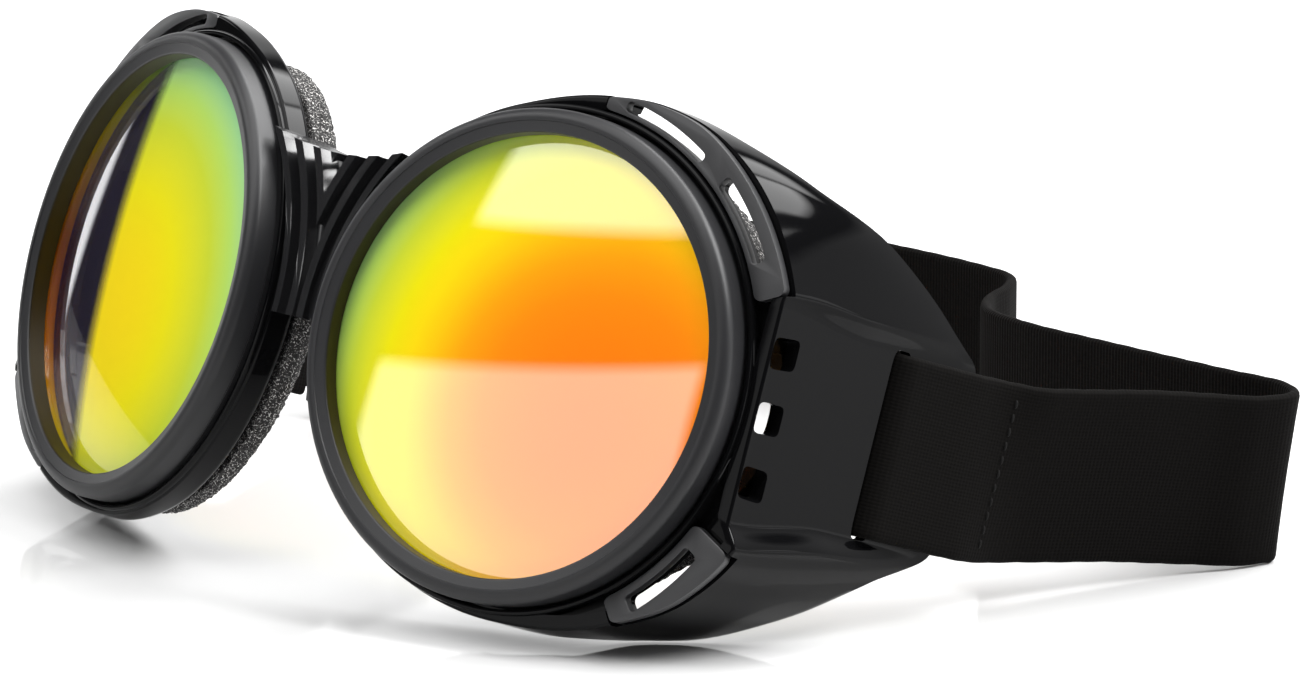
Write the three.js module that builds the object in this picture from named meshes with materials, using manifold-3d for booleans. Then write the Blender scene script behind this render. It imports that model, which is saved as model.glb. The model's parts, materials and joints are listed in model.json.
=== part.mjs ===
// Welding goggles: two vented eyecups with mirrored lenses, a ribbed flexible
// nose bridge, foam face pads and one elastic head strap.
// Millimetres, +Z up. The goggles rest on the bottoms of their cups and on the
// strap's rear edge, lenses looking along -Y and slightly up. +X is the wearer's left.
import * as THREE from 'three';
import { mergeVertices } from 'three/addons/utils/BufferGeometryUtils.js';
import Module from 'manifold-3d';

const wasm = await Module();
wasm.setup();

// ---- driving dimensions ----------------------------------------------------
const DEG = Math.PI / 180;
const GAP = 0.3;               // clearance between touching pieces
const REST_TILT = 19.1 * DEG;  // lenses look up by this much when the goggles rest
const CUP_YAW = 13.72 * DEG;   // each cup turns outwards by this much
const CUP_OFFSET = 40.16;      // lens centre to the middle plane

const RING = { clear: 30, outer: 33.4, lip: 3.3, skirtInner: 32.1, depth: 6.7 };
const LENS = { radius: 31.8, rim: 3.75, thickness: 2, dome: 2.2 };
const GASKET = { inner: 30.3, outer: 31.8, front: 5.95, back: 6.7 };
const COLLAR = { inner: 33.7, outer: 34.5, front: 4.3 };
const SEAT = { inner: 29.8, front: 7, back: 8.6 };
const FRONT_WALL = { inner: 34.1, thickness: 1.4 };  // plate behind the vent frames
const LEDGE_THICKNESS = 1.5;
const WALL = 2;
const SKIN_BITE = 0.35;        // inner plates end this far under the outer surface
const SHELL_FRONT = 5;         // depth of the front edge of the outer skin
const WING_PLANE = 74;         // outer face of the wing, from the middle plane

// Outline of the eyecup by angle round the lens axis: 0 at the temple, 90 at the top.
const REAR_DEPTH = [[-180, 8.8], [-110, 9], [-85, 9.6], [-70, 11.4], [-60, 18], [-50, 22],
  [-40, 25.5], [-31, 29.5], [-23, 34.5], [-15, 43], [0, 43.6], [15, 43.2], [22, 37.6],
  [34, 27], [46, 17], [61, 11.8], [79, 9.8], [110, 9], [180, 8.8]];
const REAR_RADIUS = [[-180, 34.7], [-110, 34.7], [-85, 35.5], [-70, 37.1], [-60, 38.2],
  [-50, 40.4], [-40, 42.4], [-31, 44.4], [-15, 46.9], [0, 45.4], [15, 46.9], [34, 46],
  [46, 43.2], [61, 40.1], [79, 37.9], [97, 35.9], [120, 35], [180, 34.7]];
const FRONT_RADIUS = [[-180, 34.7], [-110, 34.7], [-85, 35.3], [-56, 38.4], [-40, 41],
  [-25, 42], [0, 40], [24, 39.6], [60, 39.4], [75, 38.2], [88, 36.6], [110, 35], [180, 34.7]];
const LEDGE_DEPTH = [[-180, 8.6], [-75, 8.6], [-30, 14], [0, 16.5], [30, 14], [75, 8.6], [180, 8.6]];
const LEDGE_RADIUS = [[-180, 29.8], [-100, 29.8], [-75, 29], [-45, 29], [-15, 31.4], [0, 32],
  [15, 31.4], [45, 29], [85, 29], [110, 29.8], [180, 29.8]];
const FOAM_OUTER = [[-180, 34.8], [-130, 34.4], [-100, 33.4], [-75, 31.8], [-40, 31.8],
  [-15, 34.4], [0, 35], [15, 34.4], [40, 31.8], [90, 31.8], [110, 33.4], [130, 34.6], [180, 34.8]];
const FOAM_REAR = [[-180, 13.5], [-130, 13.2], [-90, 14.6], [-40, 21], [0, 25.5], [40, 22],
  [90, 17], [130, 14.5], [180, 13.5]];

const PAD_LIFT = 1;            // foam stands this far off the ledge, on its tape
const FOAM = { overhang: 1.5, chamfer: 1.5 };
const FOAM_TAPE = { inset: 0.6, width: 2 };

// Recess along the temple: half-heights at its front and rear, and where its walls stand.
const CHANNEL = { front: 14.8, rear: 12.9, length: 17, bevel: 2.6, wallAngle: 21, limit: 50 };
const ANGLE_STEP = { wide: 6.9, fine: 2.3, fineReach: 7 };
const VENT_FRAME = { front: 5, thickness: 1.5, inner: 34.8, inset: 0.2, pocket: 6.8 };
const UPPER_FRAME = { from: 24, to: 87, slots: [[32, 52, 35.5, 37.6], [59, 82, 35.4, 36.9]] };
const LOWER_FRAME = { from: -55, to: -27, slots: [[-50, -32, 36, 38.4]] };
const SLOT_MARGIN = 0.4;       // the shell's slots are this much wider than the frames'
// Air passages behind the slots, past the foam, and the wall along the foam's side of them.
const WELL_SPANS = [[26, 98], [-68, -26]];
const WELL = { start: 0.1, pastRear: 3, skinLeft: 1.95 };
const WELL_WALL = { inset: 0.4, outset: 0.4, start: 0.5, short: 0.5, foot: 0.2, beyond: 2 };
const SIDE_VENTS = { angles: [13, -0.5, -14], depth: 7.6, width: 4.6, height: 4.2, reach: 50 };
const SLOT = { front: 36, rear: 39.3, halfHeight: 12.95, reach: 8 };  // strap slot in the wing
const CUT = { ahead: 2, behind: 3, outwards: 2 };  // how far vent cutters run past their pockets

const BRIDGE = { halfWidth: 19.5, bottom: -2, dip: 21, top: 25, front: -3.6, back: 3.8,
  firstGroove: 1.8, grooveWidth: 1.6, grooveDepth: 1.5, pitch: 3.1, grooves: 3 };
const STRAP = { width: 25, thickness: 1.6, standOff: 0.4, lean: 10 * DEG,
  leanFrom: { x: [30, 74], y: [48, 64] } };
const ADJUSTER = { at: [-76.1, 74, -22.1], tilt: 0.15, length: 15, height: 31,
  thickness: 1.6, bar: 2.6, rail: 2.4, clearance: 0.4 };

// ---- materials --------------------------------------------------------------
const finish = (color, roughness, metalness = 0) =>
  new THREE.MeshStandardMaterial({ color, roughness, metalness });
const GLOSS_BLACK = () => finish(0x0b0b0c, 0.08);
const SATIN_CHARCOAL = () => finish(0x3b3b3f, 0.45);
const MIRROR_LENS = () => finish(0xf0a020, 0.04, 0.9);
const RUBBER = () => finish(0x141414, 0.6);
const OPEN_FOAM = () => finish(0x3a3a3c, 0.95);
const TAPE = () => finish(0xd8d4c8, 0.7);
const WEBBING = () => finish(0x101011, 0.9);

// ---- solids -----------------------------------------------------------------
// Closed mesh to manifold solid.
function solid(geometry) {
  const bare = geometry.clone();
  bare.deleteAttribute('normal');
  bare.deleteAttribute('uv');
  const merged = mergeVertices(bare, 1e-5);
  return new wasm.Manifold(new wasm.Mesh({
    numProp: 3,
    vertProperties: new Float32Array(merged.attributes.position.array),
    triVerts: new Uint32Array(merged.index.array),
  }));
}

// Manifold solid to three.js geometry.
function geometryOf(body) {
  const mesh = body.getMesh();
  const geometry = new THREE.BufferGeometry();
  geometry.setAttribute('position', new THREE.BufferAttribute(mesh.vertProperties, 3));
  geometry.setIndex(new THREE.BufferAttribute(mesh.triVerts, 1));
  geometry.computeVertexNormals();
  return geometry;
}

// Smooth curve through [x, y] keys (Hermite, flat at turning points).
function along(keys, x) {
  const slope = (i) => {
    if (i === 0 || i === keys.length - 1) return 0;
    const before = (keys[i][1] - keys[i - 1][1]) / (keys[i][0] - keys[i - 1][0]);
    const after = (keys[i + 1][1] - keys[i][1]) / (keys[i + 1][0] - keys[i][0]);
    return before * after <= 0 ? 0 : 2 * before * after / (before + after);
  };
  let i = 0;
  while (i < keys.length - 2 && x > keys[i + 1][0]) i += 1;
  const span = keys[i + 1][0] - keys[i][0];
  const t = (x - keys[i][0]) / span;
  const t2 = t * t;
  const t3 = t2 * t;
  return keys[i][1] * (2 * t3 - 3 * t2 + 1) + slope(i) * span * (t3 - 2 * t2 + t)
    + keys[i + 1][1] * (3 * t2 - 2 * t3) + slope(i + 1) * span * (t3 - t2);
}

// Angles round the cup, closer together where the temple channel's walls stand.
function cupAngles() {
  const angles = [];
  const { wide, fine, fineReach } = ANGLE_STEP;
  const nearWall = (a) => Math.abs(Math.abs(a) - CHANNEL.wallAngle) < fineReach;
  for (let a = -180; a < 179; a += nearWall(a) ? fine : wide) angles.push(a);
  return angles;
}

// Body swept round the lens axis: profile(angle) gives [radius, depth] corners in order.
// Cup frame: +X outwards to the temple, +Y backwards, +Z up.
function swept(profile, angles, closed) {
  const rows = angles.map((a) => profile(a).map(([r, d]) =>
    [r * Math.cos(a * DEG), d, r * Math.sin(a * DEG)]));
  const width = rows[0].length;
  const index = [];
  for (let i = 0; i < rows.length - (closed ? 0 : 1); i += 1) {
    const next = (i + 1) % rows.length;
    for (let j = 0; j < width; j += 1) {
      const k = (j + 1) % width;
      index.push(i * width + j, next * width + k, next * width + j);
      index.push(i * width + j, i * width + k, next * width + k);
    }
  }
  if (!closed) {
    const last = (rows.length - 1) * width;
    for (let j = 1; j < width - 1; j += 1) {
      index.push(0, j + 1, j, last, last + j, last + j + 1);
    }
  }
  const geometry = new THREE.BufferGeometry();
  geometry.setAttribute('position', new THREE.Float32BufferAttribute(rows.flat(2), 3));
  geometry.setIndex(index);
  return geometry;
}

const band = (profile, angles = cupAngles()) => swept(profile, angles, true);

// Part of a band, between two angles.
function sector(profile, [from, to], steps = 24) {
  const angles = Array.from({ length: steps + 1 }, (_, i) => from + (to - from) * i / steps);
  return swept(profile, angles, false);
}

// Turned ring about the lens axis from [radius, depth] corners.
function turned(corners, segments = 48) {
  const points = corners.map(([r, d]) => new THREE.Vector2(r, d));
  points.push(points[0].clone());
  return new THREE.LatheGeometry(points, segments);
}

function box(x0, x1, y0, y1, z0, z1) {
  const geometry = new THREE.BoxGeometry(x1 - x0, y1 - y0, z1 - z0);
  geometry.translate((x0 + x1) / 2, (y0 + y1) / 2, (z0 + z1) / 2);
  return geometry;
}

// Geometry in the goggles' frame brought into the left cup's frame.
function intoCup(geometry) {
  geometry.translate(-CUP_OFFSET, 0, 0);
  geometry.rotateZ(-CUP_YAW);
  return geometry;
}

// ---- eyecup -----------------------------------------------------------------
// Distance from the lens axis of the wing's flat outer face, at a depth.
const wingReach = (depth) =>
  (WING_PLANE - CUP_OFFSET + depth * Math.sin(CUP_YAW)) / Math.cos(CUP_YAW);

const smooth = (low, high, x) => {
  const t = Math.min(1, Math.max(0, (x - low) / (high - low)));
  return t * t * (3 - 2 * t);
};

// Outer radius of the shell at an angle and depth: shoulders with a recessed channel.
function shellRadius(angle, depth) {
  const rear = along(REAR_DEPTH, angle);
  const travel = Math.min(1, Math.max(0, (depth - SHELL_FRONT) / (rear - SHELL_FRONT)));
  const bulge = Math.sin(travel * Math.PI / 2) * 0.5 + travel * 0.5;
  const [frontRadius, rearRadius] = [along(FRONT_RADIUS, angle), along(REAR_RADIUS, angle)];
  const shoulder = THREE.MathUtils.lerp(frontRadius, rearRadius, bulge);
  if (Math.abs(angle) > CHANNEL.limit) return shoulder;
  const reach = wingReach(depth);
  const height = Math.abs(reach * Math.tan(angle * DEG));
  const taper = smooth(SHELL_FRONT, SHELL_FRONT + CHANNEL.length, depth);
  const edge = THREE.MathUtils.lerp(CHANNEL.front, CHANNEL.rear, taper);
  const channel = reach / Math.cos(angle * DEG);
  return THREE.MathUtils.lerp(channel, shoulder, smooth(edge, edge + CHANNEL.bevel, height));
}

const skinRadius = (angle, depth) => Math.max(COLLAR.inner, shellRadius(angle, depth) - WALL);

function skin() {
  const steps = [0, 0.2, 0.5, 0.75, 1];
  return band((angle) => {
    const rear = along(REAR_DEPTH, angle);
    const depths = steps.map((s) => SHELL_FRONT + s * (rear - SHELL_FRONT));
    const outside = depths.map((d) => [shellRadius(angle, d), d]);
    const inside = depths.map((d) => [skinRadius(angle, d), d]).reverse();
    return [...outside, ...inside];
  });
}

// Plate across the cup between an inner radius and the skin, at a pair of depths.
function plate(inner, front, back) {
  return band((a) => [
    [inner(a), front(a)],
    [shellRadius(a, front(a)) - SKIN_BITE, front(a)],
    [shellRadius(a, back(a)) - SKIN_BITE, back(a)],
    [inner(a), back(a)],
  ]);
}

// Arched outline between two angles, as points in the (X, Z) plane of the cup.
function arch(from, to, inner, outer, steps) {
  const angles = Array.from({ length: steps + 1 }, (_, i) => from + (to - from) * i / steps);
  const at = (r, a) => new THREE.Vector2(r * Math.cos(a * DEG), r * Math.sin(a * DEG));
  return [...angles.map((a) => at(outer(a), a)), ...angles.reverse().map((a) => at(inner(a), a))];
}

// Flat piece from an outline in the cup's (X, Z) plane, from one depth to another.
function flatPiece(outline, front, back, holes = []) {
  const shape = new THREE.Shape(outline);
  holes.forEach((hole) => shape.holes.push(new THREE.Path(hole)));
  const geometry = new THREE.ExtrudeGeometry(shape, { depth: back - front, bevelEnabled: false });
  geometry.rotateX(Math.PI / 2);
  geometry.translate(0, back, 0);
  return geometry;
}

const constant = (value) => () => value;

function slotOutline([from, to, inner, outer], grow = 0) {
  const turn = grow / inner / DEG;
  return arch(from - turn, to + turn, constant(inner - grow), constant(outer + grow), 5);
}

function frameOutline({ from, to }, inset, grow = 0) {
  const turn = grow / VENT_FRAME.inner / DEG;
  const outer = (a) => along(FRONT_RADIUS, a) - inset + grow;
  return arch(from - turn, to + turn, constant(VENT_FRAME.inner - grow), outer, 12);
}

function ventFrame(frame) {
  const outline = frameOutline(frame, VENT_FRAME.inset);
  const back = VENT_FRAME.front + VENT_FRAME.thickness;
  return flatPiece(outline, VENT_FRAME.front, back, frame.slots.map((s) => slotOutline(s)));
}

// Radius of the wall that stands between the foam and an air passage.
const wellRadius = (angle) => along(FOAM_OUTER, angle) + GAP;

// Air passage from the slots to the back of the cup, between the foam and the skin.
function ventWell(span) {
  const front = SEAT.back + WELL.start;
  return sector((a) => {
    const back = along(REAR_DEPTH, a) + WELL.pastRear;
    const outer = (d) => shellRadius(a, d) - WELL.skinLeft;
    return [[wellRadius(a), front], [outer(front), front], [outer(back), back], [wellRadius(a), back]];
  }, span);
}

// Wall that carries the ledge from the lens seat along an air passage.
function wellWall([from, to]) {
  const { inset, outset, start, short, foot, beyond } = WELL_WALL;
  const front = SEAT.front + start;
  return sector((a) => {
    const inner = along(LEDGE_RADIUS, a) + inset;
    const outer = wellRadius(a) + outset;
    const back = Math.max(along(LEDGE_DEPTH, a) - short, SEAT.back - foot);
    return [[inner, front], [outer, front], [outer, back], [inner, back]];
  }, [from - beyond, to + beyond]);
}

function collar() {
  const { inner, outer, front } = COLLAR;
  return band(constant([[inner, front], [outer, front], [outer, SEAT.back], [SEAT.inner, SEAT.back],
    [SEAT.inner, SEAT.front], [inner, SEAT.front]]));
}

function ledge() {
  const back = (a) => along(LEDGE_DEPTH, a);
  return plate((a) => along(LEDGE_RADIUS, a), (a) => back(a) - LEDGE_THICKNESS, back);
}

function frontWall() {
  const { pocket } = VENT_FRAME;
  return plate(constant(FRONT_WALL.inner), constant(pocket), constant(pocket + FRONT_WALL.thickness));
}

// Pockets for the vent frames and the slots behind them.
function ventCutters() {
  const front = VENT_FRAME.front - CUT.ahead;
  const { pocket } = VENT_FRAME;
  const slotCut = (slot) => flatPiece(slotOutline(slot, SLOT_MARGIN), front, pocket + CUT.behind);
  return [UPPER_FRAME, LOWER_FRAME].flatMap((frame) => [
    flatPiece(frameOutline(frame, -CUT.outwards, GAP), front, pocket),
    ...frame.slots.map(slotCut),
  ]);
}

function strapSlot() {
  const { front, rear, halfHeight, reach } = SLOT;
  return intoCup(box(WING_PLANE - reach, WING_PLANE + reach, front, rear, -halfHeight, halfHeight));
}

function sideVent(angle) {
  const { depth, width, height, reach } = SIDE_VENTS;
  const [front, back] = [depth - width / 2, depth + width / 2];
  const geometry = box(FRONT_WALL.inner, reach, front, back, -height / 2, height / 2);
  geometry.rotateY(-angle * DEG);
  return geometry;
}

function eyecup() {
  const joined = [collar(), frontWall(), ledge(), ...WELL_SPANS.map(wellWall)];
  const vents = [...ventCutters(), ...WELL_SPANS.map(ventWell), ...SIDE_VENTS.angles.map(sideVent)];
  let body = solid(skin());
  for (const geometry of joined) body = body.add(solid(geometry));
  for (const geometry of [...vents, strapSlot()]) body = body.subtract(solid(geometry));
  return geometryOf(body);
}

// ---- what the cup carries ---------------------------------------------------
function lensRing() {
  const { clear, outer, lip, skirtInner, depth } = RING;
  return turned([[clear + 0.2, lip], [clear, 1.6], [clear + 0.9, 0.4], [clear + 1.9, 0],
    [outer - 0.9, 0.5], [outer, 1.8], [outer, depth], [skirtInner, depth], [skirtInner, lip]]);
}

function lens() {
  const { radius, rim, thickness, dome } = LENS;
  const rise = (r) => dome * (1 - (r / radius) ** 2);
  const radii = [0, 0.25, 0.5, 0.75, 1].map((s) => s * radius);
  const front = radii.map((r) => new THREE.Vector2(r, rim - rise(r)));
  const back = radii.map((r) => new THREE.Vector2(r, rim + thickness - rise(r))).reverse();
  return new THREE.LatheGeometry([...front, ...back], 48);
}

const gasket = () => turned([[GASKET.inner, GASKET.front], [GASKET.outer, GASKET.front],
  [GASKET.outer, GASKET.back], [GASKET.inner, GASKET.back]]);

const padAngles = () => cupAngles().filter((a, i) => i % 2 === 0);

function foamTape() {
  return band((a) => {
    const inner = along(LEDGE_RADIUS, a) + FOAM_TAPE.inset;
    const outer = inner + FOAM_TAPE.width;
    const front = along(LEDGE_DEPTH, a) + GAP;
    const back = along(LEDGE_DEPTH, a) + PAD_LIFT - GAP;
    return [[inner, front], [outer, front], [outer, back], [inner, back]];
  }, padAngles());
}

function foamPad() {
  const { overhang, chamfer } = FOAM;
  return band((a) => {
    const inner = along(LEDGE_RADIUS, a) - overhang;
    const outer = along(FOAM_OUTER, a);
    const front = along(LEDGE_DEPTH, a) + PAD_LIFT;
    const rear = along(FOAM_REAR, a);
    return [[inner, front], [outer, front], [outer, rear - chamfer],
      [outer - chamfer, rear], [inner + chamfer, rear], [inner, rear - chamfer]];
  }, padAngles());
}

// ---- nose bridge ------------------------------------------------------------
const CUTTER_LENGTH = 60;
const CUTTER_STEPS = 72;

// Depth in a cup's frame, at its nose edge, of a distance behind the ring plane.
const noseDepth = (y) => (y + REAR_RADIUS[0][1] * Math.sin(CUP_YAW)) / Math.cos(CUP_YAW);

// Web outline seen from the front, its top edge dipping between the cups.
function bridgeOutline() {
  const { halfWidth, bottom, dip, top } = BRIDGE;
  const shape = new THREE.Shape();
  shape.moveTo(-halfWidth, bottom);
  shape.lineTo(halfWidth, bottom);
  shape.lineTo(halfWidth, top);
  shape.quadraticCurveTo(0, 2 * dip - top, -halfWidth, top);
  shape.closePath();
  return shape;
}

// Grooves concentric with a lens, up to the middle plane: all of them in front, the one
// next to the cup behind too.
function bridgeGrooves() {
  const { front, back, grooves, grooveWidth, grooveDepth, firstGroove, pitch } = BRIDGE;
  const [far, near] = [-CUTTER_LENGTH / 2, CUTTER_LENGTH / 2];
  const cuts = [];
  for (let i = 0; i < grooves; i += 1) {
    const r = REAR_RADIUS[0][1] + firstGroove + i * pitch;
    const spans = [[far, noseDepth(front + grooveDepth)]];
    if (i === 0) spans.push([noseDepth(back - grooveDepth), near]);
    spans.forEach(([d0, d1]) => cuts.push(turned([[r, d0], [r + grooveWidth, d0],
      [r + grooveWidth, d1], [r, d1]], CUTTER_STEPS)));
  }
  return cuts;
}

function noseBridge() {
  const { front, back } = BRIDGE;
  const settings = { depth: back - front, bevelEnabled: false, curveSegments: 10 };
  const web = new THREE.ExtrudeGeometry(bridgeOutline(), settings);
  web.rotateX(Math.PI / 2);
  web.translate(0, back, 0);
  let body = solid(web);
  const reach = REAR_RADIUS[0][1] + 2 * GAP;
  const room = new THREE.CylinderGeometry(reach, reach, CUTTER_LENGTH, CUTTER_STEPS);
  for (const cut of [room, ...bridgeGrooves()]) {
    cut.rotateZ(CUP_YAW);
    cut.translate(CUP_OFFSET, 0, 0);
    const half = solid(cut).trimByPlane([1, 0, 0], 0);
    body = body.subtract(half).subtract(half.mirror([1, 0, 0]));
  }
  return geometryOf(body);
}

// ---- strap ------------------------------------------------------------------
const ACROSS = new THREE.Vector3(1, 0, 0);
const WING_UP = new THREE.Vector3(0, 0, 1).applyAxisAngle(ACROSS, -REST_TILT);

// Middle line of the strap behind the wings, from the left wing round to the right one,
// and the sewn tails inside each wing (inwards from the wing, backwards).
const STRAP_ROUTE = [[74.6, 58.5, -19.8], [75.4, 68, -21.4], [77.4, 80, -23], [79.6, 91, -24.8],
  [82.2, 98.5, -25.8], [82.4, 104, -26], [78, 107, -26], [65, 107.2, -26], [46, 107.6, -26],
  [28, 108.4, -26], [18, 111, -26], [12, 117, -26], [8.4, 124, -26], [3.6, 129.6, -26],
  [-5, 131.4, -26], [-24, 131.8, -26], [-44, 129.8, -26], [-61, 123, -26], [-72, 110.6, -26],
  [-76, 96, -25.2], [-76.2, 78, -22.8], [-75.6, 62, -20.4]];
const LEFT_TAIL = [[1.4, 63], [0.5, 57], [0, 51]];
const RIGHT_TAIL = [[1.6, 65], [0.6, 57], [0, 51]];
const OUTSIDE_RUN = [46, 52.5];  // depths of the strap's first points outside the wing

// Direction of the strap's width: upright, with the top leaning out past the left wing.
function strapUp(point) {
  const { x, y } = STRAP.leanFrom;
  const lean = STRAP.lean * smooth(...x, point.x) * smooth(...y, point.y);
  return new THREE.Vector3(Math.tan(lean), 0, 1);
}

// Closed ribbon along a route: a flat section whose width follows upAt(index).
function ribbon(points, width, thickness, upAt) {
  const rows = points.map((p, i) => {
    const up = upAt(i);
    const ahead = points[Math.min(i + 1, points.length - 1)];
    const tangent = ahead.clone().sub(points[Math.max(i - 1, 0)]).normalize();
    const side = up.clone().addScaledVector(tangent, -up.dot(tangent)).normalize();
    const out = side.clone().cross(tangent).normalize();
    return [[1, 1], [-1, 1], [-1, -1], [1, -1]].map(([s, o]) =>
      p.clone().addScaledVector(side, s * width / 2).addScaledVector(out, o * thickness / 2));
  });
  const index = [];
  for (let i = 0; i < rows.length - 1; i += 1) {
    for (let j = 0; j < 4; j += 1) {
      const k = (j + 1) % 4;
      index.push(i * 4 + j, i * 4 + 4 + k, i * 4 + k, i * 4 + j, i * 4 + 4 + j, i * 4 + 4 + k);
    }
  }
  const last = (rows.length - 1) * 4;
  index.push(0, 2, 3, 0, 1, 2, last, last + 2, last + 1, last, last + 3, last + 2);
  const corners = rows.flat().flatMap((v) => v.toArray());
  const geometry = new THREE.BufferGeometry();
  geometry.setAttribute('position', new THREE.Float32BufferAttribute(corners, 3));
  geometry.setIndex(index);
  return geometry;
}

// A point given beside the wing, in the goggles' frame, as it stands after the rest tilt.
const tilted = (x, y) => new THREE.Vector3(x, y, 0).applyAxisAngle(ACROSS, -REST_TILT);

// Turn of the strap round a wing's bar: from the inside of the wing, forwards through
// the slot and back along the outside.
function barLoop(side, tail) {
  const half = WALL / 2 + STRAP.standOff + STRAP.thickness / 2;
  const middle = WING_PLANE - WALL / 2;
  const points = tail.map(([x, y]) => tilted(side * (middle - half + x), y));
  for (let i = 0; i <= 8; i += 1) {
    const a = Math.PI * i / 8;
    points.push(tilted(side * (middle - half * Math.cos(a)), SLOT.rear - half * Math.sin(a)));
  }
  points.push(...OUTSIDE_RUN.map((y) => tilted(side * (middle + half), y)));
  return points;
}

function strap() {
  const left = barLoop(1, LEFT_TAIL);
  const right = barLoop(-1, RIGHT_TAIL).reverse();
  const route = STRAP_ROUTE.map((p) => new THREE.Vector3(...p));
  const through = [...left.slice(-2), ...route, ...right.slice(0, 2)];
  const run = new THREE.CatmullRomCurve3(through, false, 'centripetal');
  const middle = run.getSpacedPoints(72).slice(1, -1);
  const points = [...left.slice(0, -1), ...middle, ...right.slice(1)];
  const onWing = (i) => i < left.length || i >= points.length - right.length;
  const upAt = (i) => (onWing(i) ? WING_UP : strapUp(points[i]));
  return ribbon(points, STRAP.width, STRAP.thickness, upAt);
}

// ---- strap adjuster ---------------------------------------------------------
// Slide with two bars outside the strap and one inside, held by top and bottom rails.
function adjuster() {
  const { length, height, thickness, bar, rail, clearance } = ADJUSTER;
  const [half, tall] = [length / 2, height / 2];
  const near = STRAP.thickness / 2 + clearance;
  const far = near + thickness;
  const members = [
    box(-far, far, -half, half, tall - rail, tall),
    box(-far, far, -half, half, -tall, rail - tall),
    box(-far, -near, -half, bar - half, -tall, tall),
    box(-far, -near, half - bar, half, -tall, tall),
    box(near, far, -bar / 2, bar / 2, -tall, tall),
  ];
  return geometryOf(members.map(solid).reduce((body, member) => body.add(member)));
}

// ---- assembly ---------------------------------------------------------------
function piece(name, geometry, material) {
  const mesh = new THREE.Mesh(geometry, material);
  mesh.name = name;
  return mesh;
}

function cup(side) {
  const group = new THREE.Group();
  group.add(
    piece(`${side}_eyecup`, eyecup(), GLOSS_BLACK()),
    piece(`${side}_lens_ring`, lensRing(), SATIN_CHARCOAL()),
    piece(`${side}_lens`, lens(), MIRROR_LENS()),
    piece(`${side}_lens_gasket`, gasket(), RUBBER()),
    piece(`${side}_upper_vent_frame`, ventFrame(UPPER_FRAME), SATIN_CHARCOAL()),
    piece(`${side}_lower_vent_frame`, ventFrame(LOWER_FRAME), SATIN_CHARCOAL()),
    piece(`${side}_foam_tape`, foamTape(), TAPE()),
    piece(`${side}_foam_pad`, foamPad(), OPEN_FOAM()),
  );
  group.position.x = CUP_OFFSET;
  group.rotation.z = CUP_YAW;
  return group;
}

function assembly() {
  const goggles = new THREE.Group();
  const mirrored = new THREE.Group();
  mirrored.scale.x = -1;
  mirrored.add(cup('right'));
  goggles.add(cup('left'), mirrored, piece('nose_bridge', noseBridge(), RUBBER()));
  goggles.rotation.x = -REST_TILT;

  const slide = piece('strap_adjuster', adjuster(), RUBBER());
  slide.position.set(...ADJUSTER.at);
  slide.rotation.x = -ADJUSTER.tilt;

  const whole = new THREE.Group();
  whole.add(goggles, piece('strap', strap(), WEBBING()), slide);
  whole.updateMatrixWorld(true);
  const { min, max } = new THREE.Box3().setFromObject(whole, true);
  whole.position.set(-(min.x + max.x) / 2, -(min.y + max.y) / 2, -min.z);
  return whole;
}

const group = assembly();
export default group;
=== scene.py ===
"""Welding goggles: the visual model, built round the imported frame. Metres, +Z up."""
import json
import math

import bmesh
import bpy
import numpy as np
from mathutils import Matrix, Vector, noise


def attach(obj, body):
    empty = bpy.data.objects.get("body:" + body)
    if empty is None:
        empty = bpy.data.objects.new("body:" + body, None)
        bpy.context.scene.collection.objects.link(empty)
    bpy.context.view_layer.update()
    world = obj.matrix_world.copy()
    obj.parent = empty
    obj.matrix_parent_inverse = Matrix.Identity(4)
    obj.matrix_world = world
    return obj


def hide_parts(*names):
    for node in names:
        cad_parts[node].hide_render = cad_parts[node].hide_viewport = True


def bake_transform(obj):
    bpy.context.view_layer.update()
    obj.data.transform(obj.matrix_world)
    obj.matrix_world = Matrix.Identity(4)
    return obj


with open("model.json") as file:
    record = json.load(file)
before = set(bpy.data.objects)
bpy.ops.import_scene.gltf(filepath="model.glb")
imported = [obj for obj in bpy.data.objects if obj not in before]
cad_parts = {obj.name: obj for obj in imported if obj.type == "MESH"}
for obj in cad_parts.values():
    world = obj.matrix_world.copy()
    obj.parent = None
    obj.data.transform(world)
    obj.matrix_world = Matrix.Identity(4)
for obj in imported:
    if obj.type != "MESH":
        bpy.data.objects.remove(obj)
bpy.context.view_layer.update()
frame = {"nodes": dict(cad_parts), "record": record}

MM = 0.001
DEG = math.pi / 180

# ---- the goggles' own frames ------------------------------------------------
REST_TILT = 19.1 * DEG     # lenses look up by this much at rest
CUP_YAW = 13.72 * DEG      # each cup turns outwards by this much
CUP_OFFSET = 40.16         # lens centre to the middle plane, mm
HINGE_HEIGHT = 12          # nose bridge hinge above the lens centres, mm

JOINTS = {joint["name"]: joint for joint in frame["record"]["behaviour"]["joints"]}
HINGE = Vector(JOINTS["nose_bridge_flex"]["pos_m"])
TILT = Matrix.Rotation(-REST_TILT, 4, "X")
GOGGLES = Matrix.Translation(HINGE) @ TILT @ Matrix.Translation((0, 0, -HINGE_HEIGHT * MM))
CENTRE = GOGGLES.translation
SIDES = {"left": 1, "right": -1}


def cup_matrix(side):
    """Cup frame (out to the temple, backwards, up) to the row frame."""
    mirror = Matrix.Diagonal((SIDES[side], 1, 1, 1))
    turn = Matrix.Translation((CUP_OFFSET * MM, 0, 0)) @ Matrix.Rotation(CUP_YAW, 4, "Z")
    return GOGGLES @ mirror @ turn


# ---- driving dimensions, mm (angles in degrees round the lens: 0 temple, 90 top) ----
RING = {"clear": 30, "outer": 33.4, "lip": 3.3, "skirt": 32.1, "depth": 6.7, "edge": 0.12,
        "bore_fillet": 0.35, "shoulder": 1.5}
LENS = {"radius": 31.8, "rim": 3.75, "thickness": 2, "dome": 2.2}
COLLAR_INNER = 33.7
SEAT = {"front": 7, "back": 8.6}
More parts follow.
